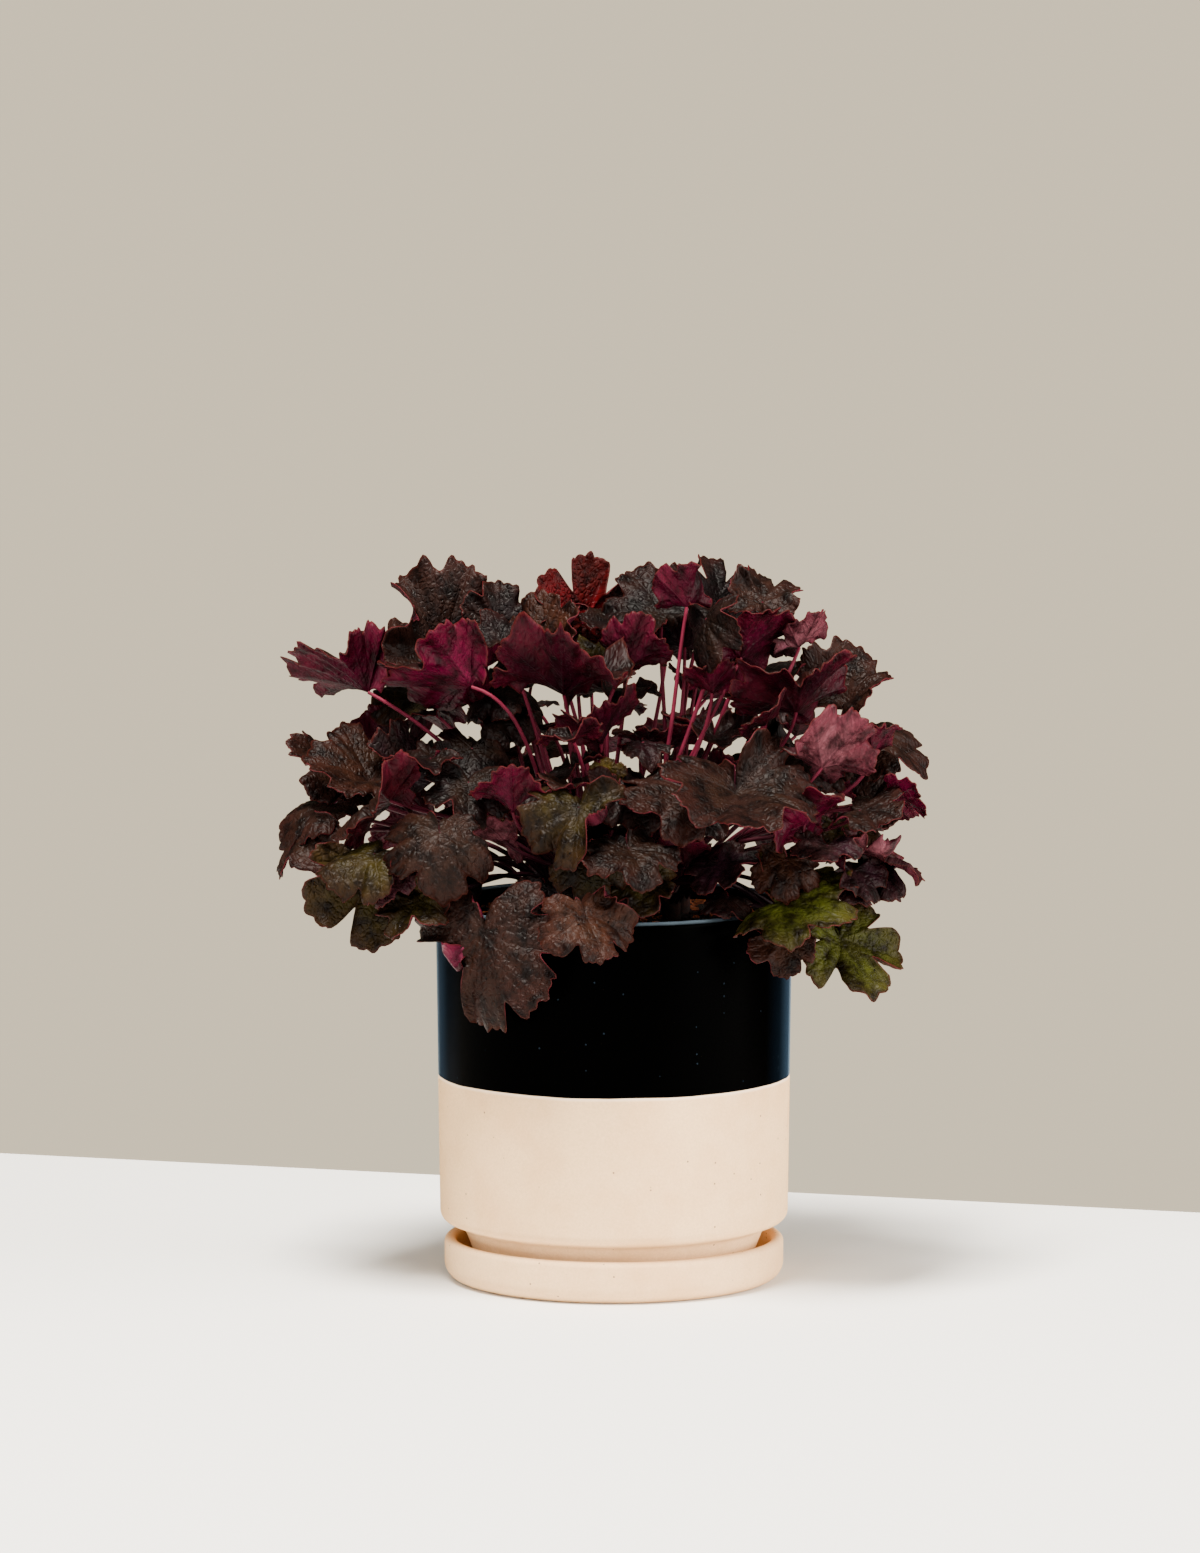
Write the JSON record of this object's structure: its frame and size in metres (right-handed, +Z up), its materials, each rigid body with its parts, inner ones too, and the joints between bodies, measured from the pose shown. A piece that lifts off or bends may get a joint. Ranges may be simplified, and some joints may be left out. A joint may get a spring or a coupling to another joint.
{
  "type": "potted heuchera plant",
  "caption": "Bushy heuchera with ruffled, lobed wine-dark leaves on slim stalks, in a round straight-sided pot, half glazed and half bare, on a matching saucer.",
  "frame": {"origin": "middle of the saucer's flat underside, on the surface that the pot stands on", "axes": "+Z up along the pot's axis; -Y towards the viewer of the picture; +X to the viewer's right"},
  "size_m": [0.2957, 0.2477, 0.3316],
  "materials": {
    "stoneware": "matte",
    "glazed_stoneware": "satin",
    "potting_soil": "matte",
    "heuchera_foliage": "satin"
  },
  "bodies": {
    "root": {"saucer": "stoneware", "pot": "glazed_stoneware", "potting_soil": "potting_soil", "shoot_01": "heuchera_foliage", "shoot_02": "heuchera_foliage", "shoot_03": "heuchera_foliage", "shoot_04": "heuchera_foliage", "shoot_05": "heuchera_foliage", "shoot_06": "heuchera_foliage", "shoot_07": "heuchera_foliage", "shoot_08": "heuchera_foliage", "shoot_09": "heuchera_foliage", "shoot_10": "heuchera_foliage", "shoot_11": "heuchera_foliage", "shoot_12": "heuchera_foliage", "shoot_13": "heuchera_foliage", "shoot_14": "heuchera_foliage", "shoot_15": "heuchera_foliage", "shoot_16": "heuchera_foliage", "shoot_17": "heuchera_foliage", "shoot_18": "heuchera_foliage", "shoot_19": "heuchera_foliage", "shoot_20": "heuchera_foliage"}
  },
  "joints": []
}
